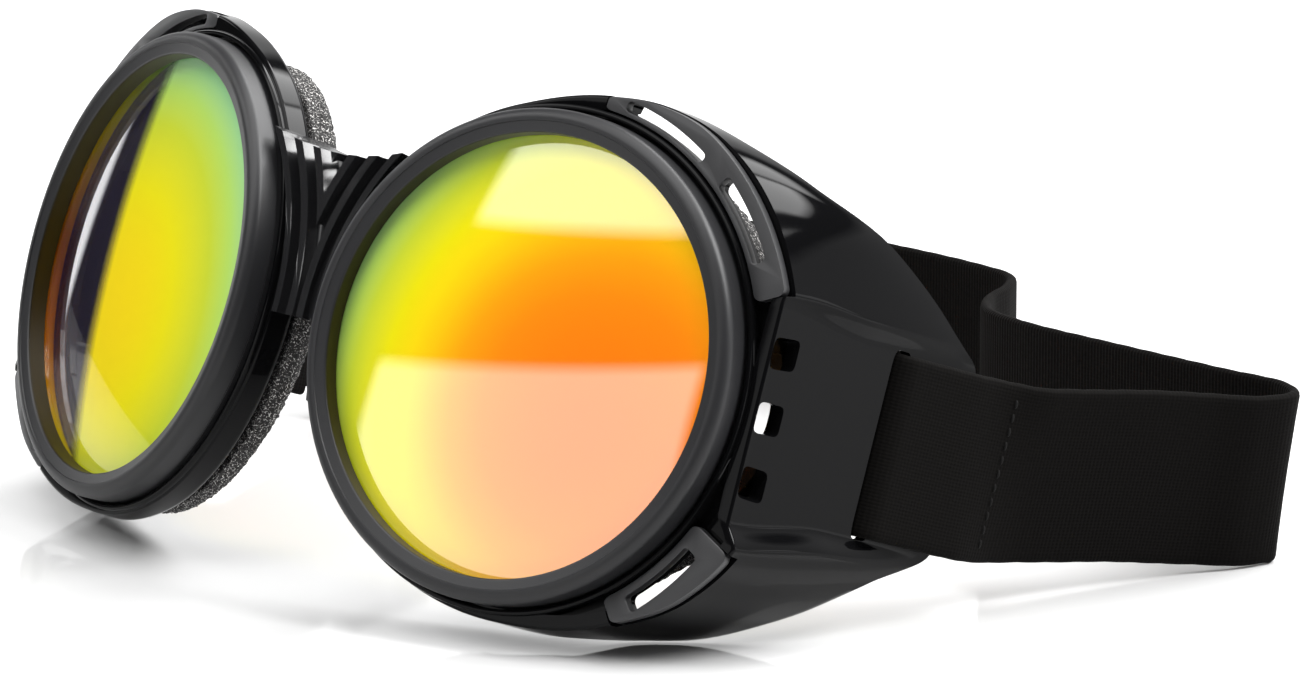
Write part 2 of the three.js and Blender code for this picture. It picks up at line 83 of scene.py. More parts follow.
# Collar and lens seat in one section, its edges rounded: (radius, depth).
COLLAR_SECTION = [(33.7, 7), (33.7, 4.6), (33.8, 4.38), (34.0, 4.3), (34.25, 4.32), (34.42, 4.42),
                  (34.5, 4.6), (34.5, 8.6), (30.1, 8.6), (29.8, 8.3), (29.8, 7.3), (30.1, 7)]
FRONT_WALL = {"inner": 34.1, "thickness": 1.4}     # plate behind the vent frames
LEDGE_THICKNESS = 1.5
WALL = 2
SHELL_FRONT = 5
WING_PLANE = 74
REAR_DEPTH = [(-180, 8.8), (-110, 9), (-85, 9.6), (-70, 11.4), (-60, 18), (-50, 22),
              (-40, 25.5), (-31, 29.5), (-23, 34.5), (-15, 43), (0, 43.6), (15, 43.2), (22, 37.6),
              (34, 27), (46, 17), (61, 11.8), (79, 9.8), (110, 9), (180, 8.8)]
REAR_RADIUS = [(-180, 34.7), (-110, 34.7), (-85, 35.5), (-70, 37.1), (-60, 38.2),
               (-50, 40.4), (-40, 42.4), (-31, 44.4), (-15, 46.9), (0, 45.4), (15, 46.9), (34, 46),
               (46, 43.2), (61, 40.1), (79, 37.9), (97, 35.9), (120, 35), (180, 34.7)]
FRONT_RADIUS = [(-180, 34.7), (-110, 34.7), (-85, 35.3), (-56, 38.4), (-40, 41), (-25, 42),
                (0, 40), (24, 39.6), (60, 39.4), (75, 38.2), (88, 36.6), (110, 35), (180, 34.7)]
LEDGE_DEPTH = [(-180, 8.6), (-75, 8.6), (-30, 14), (0, 16.5), (30, 14), (75, 8.6), (180, 8.6)]
LEDGE_RADIUS = [(-180, 29.8), (-100, 29.8), (-75, 29), (-45, 29), (-15, 31.4), (0, 32), (15, 31.4),
                (45, 29), (85, 29), (110, 29.8), (180, 29.8)]
FOAM_OUTER = [(-180, 34.8), (-130, 34.4), (-100, 33.4), (-75, 31.8), (-40, 31.8), (-15, 34.4),
              (0, 35), (15, 34.4), (40, 31.8), (90, 31.8), (110, 33.4), (130, 34.6), (180, 34.8)]
# Air passages behind the slots, past the foam, and the wall along the foam's side of them.
WELL_SPANS = ((26, 98), (-68, -26))
WELL = {"start": 0.1, "past_rear": 3, "skin_left": 1.95, "foam_gap": 0.3}
WELL_WALL = {"inset": 0.4, "outset": 0.4, "start": 0.5, "short": 0.5, "foot": 0.2, "beyond": 2}
FOAM_REAR = [(-180, 13.5), (-130, 13.2), (-90, 14.6), (-40, 21), (0, 25.5), (40, 22),
             (90, 17), (130, 14.5), (180, 13.5)]
# Recess along the temple: half-heights at its front and rear, and where its walls stand. The
# grid follows the walls, is back in place over the angles of "settles", and is fine by them.
CHANNEL = {"front": 14.8, "rear": 12.9, "length": 17, "bevel": 2.6, "wall_angle": 21,
           "limit": 50, "settles": (28, 58)}
SKIN_STEP = {"fine": 0.45, "coarse": 1.3, "fine_between": (16, 34)}
FRAME_FRONT, FRAME_BACK, FRAME_INNER, FRAME_INSET, POCKET = 5, 6.5, 34.8, 0.1, 6.8
# Cutters for the vent frames' pockets and the slots behind them.
CUT = {"front": 3, "behind": 3, "past_edge": 1.2, "frame_gap": 0.15, "slot_gap": 0.4}
UPPER_FRAME = {"span": (24, 87), "slots": [(32, 52, 35.5, 37.6), (59, 82, 35.4, 36.9)]}
LOWER_FRAME = {"span": (-55, -27), "slots": [(-50, -32, 36, 38.4)]}
SIDE_VENTS = {"angles": (13, -0.5, -14), "depth": 7.6, "width": 4.6, "height": 4.2, "reach": 50}
SLOT = {"front": 36, "rear": 39.3, "half_height": 12.95, "reach": 8}
STRAP = {"width": 25, "thickness": 1.6, "stand_off": 0.4, "lean": 10 * DEG}


# ---- shader helpers ---------------------------------------------------------
def feed(socket, value):
    """Sets a socket to a value, or links it to another node's output."""
    if isinstance(value, bpy.types.NodeSocket):
        socket.id_data.links.new(value, socket)
    else:
        socket.default_value = value


def node(tree, kind, **settings):
    """New node. A setting with a capital is an input; the others are the node's own."""
    made = tree.nodes.new(kind)
    for key, value in settings.items():
        if key[0].isupper():
            feed(made.inputs[key.replace("_", " ")], value)
        else:
            setattr(made, key, value)
    return made


def calc(tree, operation, *values):
    """Result of a math node."""
    made = node(tree, "ShaderNodeMath", operation=operation)
    for socket, value in zip(made.inputs, values):
        feed(socket, value)
    return made.outputs["Value"]


def colour_ramp(tree, factor, stops):
    """Colour by factor, from stops of (position, colour)."""
    made = node(tree, "ShaderNodeValToRGB", Fac=factor)
    elements = made.color_ramp.elements
    elements.remove(elements[1])
    elements[0].position, elements[0].color = stops[0][0], (*stops[0][1], 1)
    for position, colour in stops[1:]:
        elements.new(position).color = (*colour, 1)
    return made.outputs["Color"]


def new_material(name):
    """Material with its node tree and shader."""
    material = bpy.data.materials.new(name)
    material.use_nodes = True
    return material, material.node_tree, material.node_tree.nodes["Principled BSDF"]


# ---- camera, stage and lights -----------------------------------------------
VIEW_BACK = Vector((0.7201, -0.6593, 0.2165)).normalized()   # object to camera
VIEW_TARGET = CENTRE + Vector((66.6, 1.6, 4.63)) * MM
VIEW_DISTANCE = 1.134
LENS_MM = 238.4


def looking(position, target):
    return (target - position).to_track_quat("-Z", "Y").to_euler()


def camera():
    data = bpy.data.cameras.new("camera")
    data.lens = LENS_MM
    data.sensor_width = 36
    data.clip_end = 20
    view = bpy.data.objects.new("camera", data)
    view.location = VIEW_TARGET + VIEW_BACK * VIEW_DISTANCE
    view.rotation_euler = looking(view.location, VIEW_TARGET)
    bpy.context.collection.objects.link(view)
    bpy.context.scene.camera = view


# Soft boxes of the studio, in degrees: azimuth from, to, elevation from, to, soft edge, strength.
# Azimuth 0 is in front of the lenses, positive towards the wearer's left. The boxes in front
# are tilted by BOX_TILT degrees of elevation for each degree of azimuth.
BOX_TILT = 0.26
FRONT_BOXES = [
    (-32.5, -5, -40, 22.9, 0.5, 1.8),    # low card
    (-29, 14, 32.2, 42, 0.6, 2.3),       # high card
    (-70, 45, 43, 68, 3, 4.4),           # large box above the front
]
SOFT_BOXES = [
    (-94, -87.5, -12, 34, 0.4, 5),       # narrow strip at the wearer's right
    (112, 138, 3, 12, 1, 2.5),           # low strip behind the wearer's left
    (104, 148, 36, 58, 1.2, 22),         # boxes above and behind
    (156, 179, 38, 58, 1.2, 14),
    (-179, -150, 34, 58, 1.5, 9),
    (100, 179.9, -6, 28, 2, 1.1),        # back wall
    (-179.9, -110, -6, 28, 2, 1.1),
]
OVERHEAD = (64, 3, 4.2)                  # elevation, edge, strength
AMBIENT = 0.05


def window(tree, value, low, high, edge):
    """1 between two angles in degrees, falling to 0 over their soft edges."""
    def step(at, before, after):
        return node(tree, "ShaderNodeMapRange", Value=value, From_Min=(at - edge) * DEG,
                    From_Max=(at + edge) * DEG, To_Min=before, To_Max=after).outputs["Result"]
    return calc(tree, "MULTIPLY", step(low, 0, 1), step(high, 1, 0))


def studio_world():
    """Light by direction. The camera itself sees nothing darker than white."""
    world = bpy.data.worlds.new("studio")
    world.use_nodes = True
    tree = world.node_tree
    where = node(tree, "ShaderNodeTexCoord")
    parts = node(tree, "ShaderNodeSeparateXYZ", Vector=where.outputs["Generated"]).outputs
    azimuth = calc(tree, "ARCTAN2", parts["X"], calc(tree, "MULTIPLY", parts["Y"], -1.0))
    elevation = calc(tree, "ARCSINE", parts["Z"])
    tilted = calc(tree, "SUBTRACT", elevation, calc(tree, "MULTIPLY", azimuth, BOX_TILT))
    top, top_edge, top_strength = OVERHEAD
    light = calc(tree, "MULTIPLY", window(tree, elevation, top, 100, top_edge), top_strength)
    light = calc(tree, "ADD", light, AMBIENT)
    for height, boxes in ((tilted, FRONT_BOXES), (elevation, SOFT_BOXES)):
        for a0, a1, e0, e1, edge, strength in boxes:
            box = calc(tree, "MULTIPLY", window(tree, azimuth, a0, a1, edge),
                       window(tree, height, e0, e1, edge))
            light = calc(tree, "ADD", light, calc(tree, "MULTIPLY", box, strength))
    seen = node(tree, "ShaderNodeLightPath").outputs["Is Camera Ray"]
    background = tree.nodes["Background"]
    feed(background.inputs["Strength"], calc(tree, "MAXIMUM", light, seen))
    background.inputs["Color"].default_value = (1, 1, 1, 1)
    bpy.context.scene.world = world


def stage():
    floor_mesh = bpy.data.meshes.new("floor")
    reach = 4
    corners = [(-reach, -reach, 0), (reach, -reach, 0), (reach, reach, 0), (-reach, reach, 0)]
    floor_mesh.from_pydata(corners, [], [(0, 1, 2, 3)])
    floor = bpy.data.objects.new("floor", floor_mesh)
    bpy.context.collection.objects.link(floor)
    material, _, shader = new_material("floor_paint")
    shader.inputs["Base Color"].default_value = (0.6, 0.6, 0.6, 1)
    shader.inputs["Roughness"].default_value = 0.06
    shader.inputs["IOR"].default_value = 1.36
    floor_mesh.materials.append(material)
    studio_world()
    bpy.context.scene.view_settings.view_transform = "Standard"


# ---- mesh helpers -----------------------------------------------------------
def along(keys, x):
    """Smooth curve through (x, y) keys, flat at turning points."""
    def slope(i):
        if i in (0, len(keys) - 1):
            return 0
        before = (keys[i][1] - keys[i - 1][1]) / (keys[i][0] - keys[i - 1][0])
        after = (keys[i + 1][1] - keys[i][1]) / (keys[i + 1][0] - keys[i][0])
        return 0 if before * after <= 0 else 2 * before * after / (before + after)
    i = 0
    while i < len(keys) - 2 and x > keys[i + 1][0]:
        i += 1
    span = keys[i + 1][0] - keys[i][0]
    t = (x - keys[i][0]) / span
    t2, t3 = t * t, t ** 3
    return (keys[i][1] * (2 * t3 - 3 * t2 + 1) + slope(i) * span * (t3 - 2 * t2 + t)
            + keys[i + 1][1] * (3 * t2 - 2 * t3) + slope(i + 1) * span * (t3 - t2))


def smooth(low, high, x):
    t = min(1, max(0, (x - low) / (high - low)))
    return t * t * (3 - 2 * t)


def lerp(a, b, t):
    return a + (b - a) * t


def new_object(name, points, faces, place):
    """Mesh object from points in millimetres, brought into the row frame."""
    mesh = bpy.data.meshes.new(name)
    mesh.from_pydata([place @ (Vector(p) * MM) for p in points], [], faces)
    if place.determinant() < 0:
        mesh.flip_normals()
    piece = bpy.data.objects.new(name, mesh)
    bpy.context.collection.objects.link(piece)
    return piece


def shade(piece, material, sharp):
    """Smooth shading with creases kept, in one material."""
    piece.data.materials.clear()
    piece.data.materials.append(material)
    piece.data.polygons.foreach_set("material_index", [0] * len(piece.data.polygons))
    piece.data.polygons.foreach_set("use_smooth", [True] * len(piece.data.polygons))
    piece.data.set_sharp_from_angle(angle=sharp * DEG)
    piece.data.update()


def applied(piece):
    """Turns the piece's modifiers into mesh."""
    graph = bpy.context.evaluated_depsgraph_get()
    mesh = bpy.data.meshes.new_from_object(piece.evaluated_get(graph))
    piece.modifiers.clear()
    piece.data = mesh
    return piece


def combine(piece, others, operation):
    """Joins or cuts the piece with the others, which are used up."""
    for other in others:
        modifier = piece.modifiers.new("combine", "BOOLEAN")
        modifier.operation = operation
        modifier.solver = "MANIFOLD"
        modifier.object = other
    applied(piece)
    for other in others:
        bpy.data.objects.remove(other)
    return piece


def bevel(piece, width, segments, angle):
    modifier = piece.modifiers.new("bevel", "BEVEL")
    modifier.width = width * MM
    modifier.segments = segments
    modifier.limit_method = "ANGLE"
    modifier.angle_limit = angle * DEG
    modifier.harden_normals = False
    return applied(piece)


def recalculate(piece):
    """Turns all the faces of a closed mesh outwards."""
    fix = bmesh.new()
    fix.from_mesh(piece.data)
    bmesh.ops.recalc_face_normals(fix, faces=fix.faces)
    fix.to_mesh(piece.data)
    fix.free()


def weld(piece):
    """Joins vertices that stand on each other."""
    distance = 0.005
    joined = bmesh.new()
    joined.from_mesh(piece.data)
    bmesh.ops.remove_doubles(joined, verts=joined.verts, dist=distance * MM)
    joined.to_mesh(piece.data)
    joined.free()


def solid_of_rows(name, rows, place, closed):
    """Solid through rows of points, closed round in a ring or capped at both ends."""
    width = len(rows[0])
    faces = []
    for i in range(len(rows) if closed else len(rows) - 1):
        j = (i + 1) % len(rows)
        for k in range(width):
            m = (k + 1) % width
            faces.append((i * width + k, i * width + m, j * width + m, j * width + k))
    if not closed:
        last = (len(rows) - 1) * width
        faces += [tuple(range(width)), tuple(range(last, last + width))]
    piece = new_object(name, [p for row in rows for p in row], faces, place)
    recalculate(piece)
    return piece


def swept_row(profile, angle):
    return [(r * math.cos(angle * DEG), d, r * math.sin(angle * DEG)) for r, d in profile(angle)]


def band(name, profile, place, steps=288):
    """Closed band round the lens axis; profile(angle) gives (radius, depth) corners."""
    rows = [swept_row(profile, -180 + 360 * i / steps) for i in range(steps)]
    return solid_of_rows(name, rows, place, True)


def sector(name, profile, span, place, steps=40):
    """Part of a band, between two angles."""
    rows = [swept_row(profile, lerp(*span, i / steps)) for i in range(steps + 1)]
    return solid_of_rows(name, rows, place, False)


def prism(name, outline, front, back, place):
    """Flat piece from an outline in the cup's (out, up) plane between two depths."""
    rows = [[(x, depth, z) for x, z in outline] for depth in (front, back)]
    return solid_of_rows(name, rows, place, False)


def squarish(half_width, half_height, sharp_width, sharp_height, count=32):
    """Rectangle with rounded corners; the smaller the two sharp numbers, the squarer it is."""
    points = []
    for i in range(count):
        turn = 2 * math.pi * i / count
        c, s = math.cos(turn), math.sin(turn)
        points.append((half_width * math.copysign(abs(c) ** sharp_width, c),
                       half_height * math.copysign(abs(s) ** sharp_height, s)))
    return points


def polar(r, a):
    return r * math.cos(a * DEG), r * math.sin(a * DEG)


def arc_points(centre, radius, start, end, count):
    x, y = centre
    turns = [lerp(start, end, i / count) * DEG for i in range(count + 1)]
    return [(x + radius * math.cos(turn), y + radius * math.sin(turn)) for turn in turns]


def constant(value):
    return lambda a: value


# ---- materials --------------------------------------------------------------
def plain_material(name, colour, roughness, grain_scale, grain_depth, uneven, **sockets):
    """One colour, with uneven polish and a fine surface grain, its depth in mm."""
    material, tree, shader = new_material(name)
    shader.inputs["Base Color"].default_value = (*colour, 1)
    for socket, value in sockets.items():
        shader.inputs[socket.replace("_", " ")].default_value = value
    where = node(tree, "ShaderNodeTexCoord").outputs["Object"]
    patches = node(tree, "ShaderNodeTexNoise", Scale=60, Detail=4, Vector=where)
    spread = node(tree, "ShaderNodeMapRange", Value=patches.outputs["Fac"],
                  To_Min=max(0.02, roughness - uneven), To_Max=roughness + uneven)
    feed(shader.inputs["Roughness"], spread.outputs["Result"])
    grain = node(tree, "ShaderNodeTexNoise", Scale=grain_scale, Detail=3, Vector=where)
    bump = node(tree, "ShaderNodeBump", Strength=1, Distance=grain_depth * MM,
                Height=grain.outputs["Fac"])
    feed(shader.inputs["Normal"], bump.outputs["Normal"])
    return material


GLOSS = plain_material("gloss_black_plastic", (0.0025, 0.0025, 0.0028), 0.055, 500, 0.0015, 0.02,
                       Specular_IOR_Level=0.09)
SATIN = plain_material("satin_charcoal_plastic", (0.02, 0.02, 0.0215), 0.4, 9000, 0.005, 0.05)
RUBBERY = plain_material("flexible_black", (0.009, 0.009, 0.0098), 0.24, 3000, 0.005, 0.06)
RING_SATIN = plain_material("satin_ring_plastic", (0.013, 0.013, 0.0142), 0.4, 9000, 0.005, 0.05,
                            Specular_IOR_Level=0.3)
TAPE = plain_material("pad_tape", (0.5, 0.48, 0.43), 0.6, 2500, 0.02, 0.1)
GRAINED = plain_material("adjuster_plastic", (0.015, 0.015, 0.016), 0.38, 5000, 0.012, 0.06)
THREAD = plain_material("sewing_thread", (0.0022, 0.002, 0.0019), 0.7, 9000, 0.01, 0.1,
                        Specular_IOR_Level=0.15)


def paint_bore_shade_and_reflection(material):
    """Paints the ring's bore, down to the lens, brown-black: painted shade in the bore and a
    painted reflection of the lens's colour.
    """
    tree = material.node_tree
    colour = tree.nodes["Principled BSDF"].inputs["Base Color"]
    bore = node(tree, "ShaderNodeAttribute", attribute_name="bore")
    # Painted shade and painted reflection: the bore goes darker, and brown like the lens's colour
    # mirrored in it.
    painted_bore_reflection = node(tree, "ShaderNodeMix", data_type="RGBA", A=colour.default_value,
                B=(0.009, 0.006, 0.001, 1), Factor=bore.outputs["Fac"])
    feed(colour, painted_bore_reflection.outputs["Result"])


paint_bore_shade_and_reflection(RING_SATIN)


# ---- eyecups ----------------------------------------------------------------
def wing_reach(depth):
    """How far out the wing's plane is from the lens axis, at a depth."""
    return (WING_PLANE - CUP_OFFSET + depth * math.sin(CUP_YAW)) / math.cos(CUP_YAW)


def shell_radius(angle, depth):
    """Outside of the skin: a shoulder half way between straight and round, cut by the channel."""
    rear = along(REAR_DEPTH, angle)
    travel = min(1, max(0, (depth - SHELL_FRONT) / (rear - SHELL_FRONT)))
    bulge = math.sin(travel * math.pi / 2) * 0.5 + travel * 0.5
    shoulder = lerp(along(FRONT_RADIUS, angle), along(REAR_RADIUS, angle), bulge)
    if abs(angle) > CHANNEL["limit"]:
        return shoulder
    reach = wing_reach(depth)
    height = abs(reach * math.tan(angle * DEG))
    taper = smooth(SHELL_FRONT, SHELL_FRONT + CHANNEL["length"], depth)
    edge = lerp(CHANNEL["front"], CHANNEL["rear"], taper)
    channel = reach / math.cos(angle * DEG)
    return lerp(channel, shoulder, smooth(edge, edge + CHANNEL["bevel"], height))


def with_channel(angle, depth):
    """Angle moved so that the same angle stays on the channel's wall at every depth."""
    taper = smooth(SHELL_FRONT, SHELL_FRONT + CHANNEL["length"], depth)
    wall = lerp(CHANNEL["front"], CHANNEL["rear"], taper)
    true_wall = math.atan2(wall, wing_reach(depth)) / DEG
    moved = angle * true_wall / CHANNEL["wall_angle"]
    return lerp(moved, angle, smooth(*CHANNEL["settles"], abs(angle)))


def skin_rear(angle):
    """Depth of the rear edge, at the angle that the grid has moved to there."""
    depth = along(REAR_DEPTH, angle)
    for _ in range(8):
        depth = along(REAR_DEPTH, with_channel(angle, depth))
    return depth


def skin_section(angle):
    """Closed section of the skin at one angle: (angle, radius, depth) corners, edges rounded."""
    fillet, lip, rows = 0.5, 0.7, 26
    start, end = SHELL_FRONT + fillet, skin_rear(angle) - lip
    depths = [lerp(start, end, i / rows) for i in range(rows + 1)]

    def outside(d):
        return shell_radius(with_channel(angle, d), d)

    def inside(d):
        return max(COLLAR_INNER, outside(d) - WALL)
    points = []
    for i in range(4):
        turn = i / 4 * math.pi / 2
        rise = fillet * (1 - math.sin(turn))
        points.append((outside(start) - rise, start - fillet * math.cos(turn)))
    points += [(outside(d), d) for d in depths]
    half = (outside(end) - inside(end)) / 2
    middle = outside(end) - half
    points += [(middle + half * math.cos(i / 6 * math.pi), end + lip * math.sin(i / 6 * math.pi))
               for i in range(1, 6)]
    points += [(inside(d), d) for d in reversed(depths)]
    points.append((inside(SHELL_FRONT), SHELL_FRONT))
    return [(with_channel(angle, d), r, d) for r, d in points]


def skin(name, place):
    low, high = SKIN_STEP["fine_between"]
    angles, a = [], -180
    while a < 179.5:
        angles.append(a)
        a += SKIN_STEP["fine" if low < abs(a) < high else "coarse"]
    rows = [[(*polar(r, t), d) for t, r, d in skin_section(a)] for a in angles]
    return solid_of_rows(name, [[(x, d, z) for x, z, d in row] for row in rows], place, True)


def plate_profile(inner, front, back):
    """Profile of a plate that reaches out into the skin by its bite."""
    bite = 0.35
    return lambda a: [(inner(a), front(a)), (shell_radius(a, front(a)) - bite, front(a)),
                      (shell_radius(a, back(a)) - bite, back(a)), (inner(a), back(a))]


def rounded_rectangle(width, height, radius, step=0.8):
    """Points round a rectangle from (0, 0), with round corners."""
    points = []
    corners = [((width - radius, radius), -90), ((width - radius, height - radius), 0),
               ((radius, height - radius), 90), ((radius, radius), 180)]
    for i, (centre, start) in enumerate(corners):
        points += arc_points(centre, radius, start, start + 90, 5)
        ahead = corners[(i + 1) % 4]
        target = arc_points(ahead[0], radius, ahead[1], ahead[1], 1)[0]
        gap = math.dist(points[-1], target)
        pieces = int(gap / step)
        last = points[-1]
        points += [(lerp(last[0], target[0], k / pieces), lerp(last[1], target[1], k / pieces))
                   for k in range(1, pieces)]
    return points


def arch(low, high, inner, outer, corner):
    """Arched outline with round corners; inner and outer give radii by angle."""
    middle = (low + high) / 2
    radius = (inner(middle) + outer(middle)) / 2
    length = (high - low) * DEG * radius
    height = outer(middle) - inner(middle)
    points = []
    for u, v in rounded_rectangle(length, height, corner):
        a = low + u / radius / DEG
        points.append(polar(lerp(inner(a), outer(a), v / height), a))
    return points


def slot_outline(slot, grow=0):
    low, high, inner, outer = slot
    turn = grow / inner / DEG
    return arch(low - turn, high + turn, constant(inner - grow), constant(outer + grow), 0.6 + grow)


def frame_outline(span, inset, grow=0):
    turn = grow / FRAME_INNER / DEG
    return arch(span[0] - turn, span[1] + turn, constant(FRAME_INNER - grow),
                lambda a: along(FRONT_RADIUS, a) - inset + grow, 1.1 + grow)


def well_radius(angle):
    """Wall between the foam and an air passage."""
    return along(FOAM_OUTER, angle) + WELL["foam_gap"]


def vent_well(span, place):
    """Air passage from the slots to the back of the cup, between the foam and the skin."""
    front = SEAT["back"] + WELL["start"]

    def profile(a):
        inner, back = well_radius(a), along(REAR_DEPTH, a) + WELL["past_rear"]
        outer = [shell_radius(a, d) - WELL["skin_left"] for d in (front, back)]
        return [(inner, front), (outer[0], front), (outer[1], back), (inner, back)]
    return sector("cutter", profile, span, place)


def well_wall(span, place):
    """Wall that carries the ledge from the lens seat along an air passage."""
    front = SEAT["front"] + WELL_WALL["start"]
    beyond = WELL_WALL["beyond"]

    def profile(a):
        inner = along(LEDGE_RADIUS, a) + WELL_WALL["inset"]
        outer = well_radius(a) + WELL_WALL["outset"]
        back = max(along(LEDGE_DEPTH, a) - WELL_WALL["short"], SEAT["back"] - WELL_WALL["foot"])
        return [(inner, front), (outer, front), (outer, back), (inner, back)]
    return sector("wall", profile, (span[0] - beyond, span[1] + beyond), place)


def side_vent(angle, place):
    outline = squarish(SIDE_VENTS["width"] / 2, SIDE_VENTS["height"] / 2, 0.35, 0.35)
    turn = Matrix.Rotation(-angle * DEG, 4, "Y")
    rows = [[turn @ Vector((x, SIDE_VENTS["depth"] + y, z)) for y, z in outline]
            for x in (FRONT_WALL["inner"], SIDE_VENTS["reach"])]
    return solid_of_rows("cutter", rows, place, False)


def strap_slot_cutter(side):
    """Tall rounded slot through the wing, in the goggles' frame."""
    middle = (SLOT["front"] + SLOT["rear"]) / 2
    outline = squarish((SLOT["rear"] - SLOT["front"]) / 2, SLOT["half_height"], 0.4, 0.12)
    rows = [[(SIDES[side] * x, middle + y, z) for y, z in outline]
            for x in (WING_PLANE - SLOT["reach"], WING_PLANE + SLOT["reach"])]
    return solid_of_rows("cutter", rows, GOGGLES, False)


def cup_bodies(place):
    """What is joined inside the skin: collar, lens seat, plate behind the vents, foam ledge."""
    behind_vents = POCKET + FRONT_WALL["thickness"]
    wall = plate_profile(constant(FRONT_WALL["inner"]), constant(POCKET), constant(behind_vents))
    ledge = plate_profile(lambda a: along(LEDGE_RADIUS, a),
                          lambda a: along(LEDGE_DEPTH, a) - LEDGE_THICKNESS,
                          lambda a: along(LEDGE_DEPTH, a))
    bodies = [band("collar", constant(COLLAR_SECTION), place), band("front_wall", wall, place),
              band("ledge", ledge, place)]
    return bodies + [well_wall(span, place) for span in WELL_SPANS]


def cup_cutters(side, place):
    cutters = [strap_slot_cutter(side)]
    front, back = CUT["front"], POCKET + CUT["behind"]
    for spec in (UPPER_FRAME, LOWER_FRAME):
        pocket = frame_outline(spec["span"], -CUT["past_edge"], CUT["frame_gap"])
        cutters.append(prism("cutter", pocket, front, POCKET, place))
        cutters += [prism("cutter", slot_outline(slot, CUT["slot_gap"]), front, back, place)
                    for slot in spec["slots"]]
    cutters += [vent_well(span, place) for span in WELL_SPANS]
    return cutters + [side_vent(angle, place) for angle in SIDE_VENTS["angles"]]


def eyecup(side):
    place = cup_matrix(side)
    shell = skin(f"{side}_eyecup_shell", place)
    combine(shell, cup_bodies(place), "UNION")
    combine(shell, cup_cutters(side, place), "DIFFERENCE")
    shade(shell, GLOSS, 32)
    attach(shell, f"{side}_cup")
    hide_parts(f"{side}_eyecup")


def vent_frame(side, which, spec):
    place = cup_matrix(side)
    outline = frame_outline(spec["span"], FRAME_INSET)
    piece = prism(f"{side}_{which}_vent_frame_trim", outline, FRAME_FRONT, FRAME_BACK, place)
    cutters = [prism("cutter", slot_outline(slot), FRAME_FRONT - 1, FRAME_BACK + 1, place)
               for slot in spec["slots"]]
    combine(piece, cutters, "DIFFERENCE")
    bevel(piece, 0.22, 3, 50)
    shade(piece, SATIN, 40)
    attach(piece, f"{side}_cup")
    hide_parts(f"{side}_{which}_vent_frame")


def lens_ring(side):
    """Retaining ring: satin face, round outer shoulder, bore down to the lens painted dark brown as
    shade and as a reflection of the lens.
    """
    outer, clear, lip, edge = RING["outer"], RING["clear"], RING["lip"], RING["edge"]
    fillet, shoulder, steps = RING["bore_fillet"], RING["shoulder"], 240
    profile = [(clear + edge, lip), (clear, lip - edge)]
    profile += [(clear, lerp(lip - edge, 0.95, i / 4)) for i in range(1, 4)]
    profile += arc_points((clear + fillet, 0.9), fillet, 180, 262, 6)
    profile += [(clear + 1.0, 0.42), (clear + 1.5, 0.3)]
    profile += arc_points((outer - shoulder, 1.6), shoulder, 258, 360, 12)
    profile += [(outer, 3), (outer, 3.9), (outer - edge, 4), (outer - edge, RING["depth"] - 0.2),
                (outer - 0.3, RING["depth"]), (RING["skirt"], RING["depth"]), (RING["skirt"], lip)]
    ring = band(f"{side}_lens_ring_body", constant(profile), cup_matrix(side), steps)
    # Marks the bore for its painted shade and its painted reflection of the lens colour.
    bore = ring.data.attributes.new("bore", "FLOAT", "POINT")
    inside = [1.0 if r < clear + edge / 2 else 0.0 for r, d in profile]
    bore.data.foreach_set("value", inside * steps)
    shade(ring, RING_SATIN, 40)
    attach(ring, f"{side}_ring_body")
    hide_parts(f"{side}_lens_ring")


# ---- lenses -----------------------------------------------------------------
HOT_SPOT = (10, -6)         # where the coating is reddest, out from the lens centre, mm
COATING_REACH = 44          # distance from it to the farthest rim, mm
SHARP_GLANCE = (0.585, 0.6)
COATING_STOPS = [(0.1, (1.0, 0.18, 0.0)), (0.2, (1.0, 0.24, 0.0)), (0.28, (1.0, 0.34, 0.0)),
                 (0.38, (1.0, 0.54, 0.0)), (0.45, (0.9, 0.66, 0.0)), (0.56, (0.8, 0.72, 0.0)),
                 (0.72, (0.55, 0.64, 0.03)), (0.84, (0.44, 0.68, 0.12)), (0.97, (0.33, 0.66, 0.3))]


def lens_material():
    """Mirror coating: orange met squarely near the hot spot, then yellow, then green at a glance.

    Met more sharply than SHARP_GLANCE it is violet and half clear.
    """
    material, tree, shader = new_material("mirror_coating")
    shader.inputs["Metallic"].default_value = 0.05
    shader.inputs["Roughness"].default_value = 0.03
    shader.inputs["Coat Weight"].default_value = 1.0
    shader.inputs["Coat IOR"].default_value = 2.1
    shader.inputs["Coat Roughness"].default_value = 0.01
    spot = node(tree, "ShaderNodeAttribute", attribute_name="coating").outputs["Fac"]
    glance = node(tree, "ShaderNodeLayerWeight", Blend=0.5).outputs["Facing"]
    colour = colour_ramp(tree, calc(tree, "MULTIPLY_ADD", glance, 0.8, spot), COATING_STOPS)

    def sharply(before, after):
        return node(tree, "ShaderNodeMapRange", Value=glance, From_Min=SHARP_GLANCE[0],
                    From_Max=SHARP_GLANCE[1], To_Min=before, To_Max=after).outputs["Result"]
    violet = node(tree, "ShaderNodeMix", data_type="RGBA", A=colour, B=(0.02, 0.016, 0.04, 1),
                  Factor=sharply(0, 1))
    feed(shader.inputs["Base Color"], violet.outputs["Result"])
    feed(shader.inputs["Alpha"], sharply(0.97, 0.42))
    return material


COATING = lens_material()


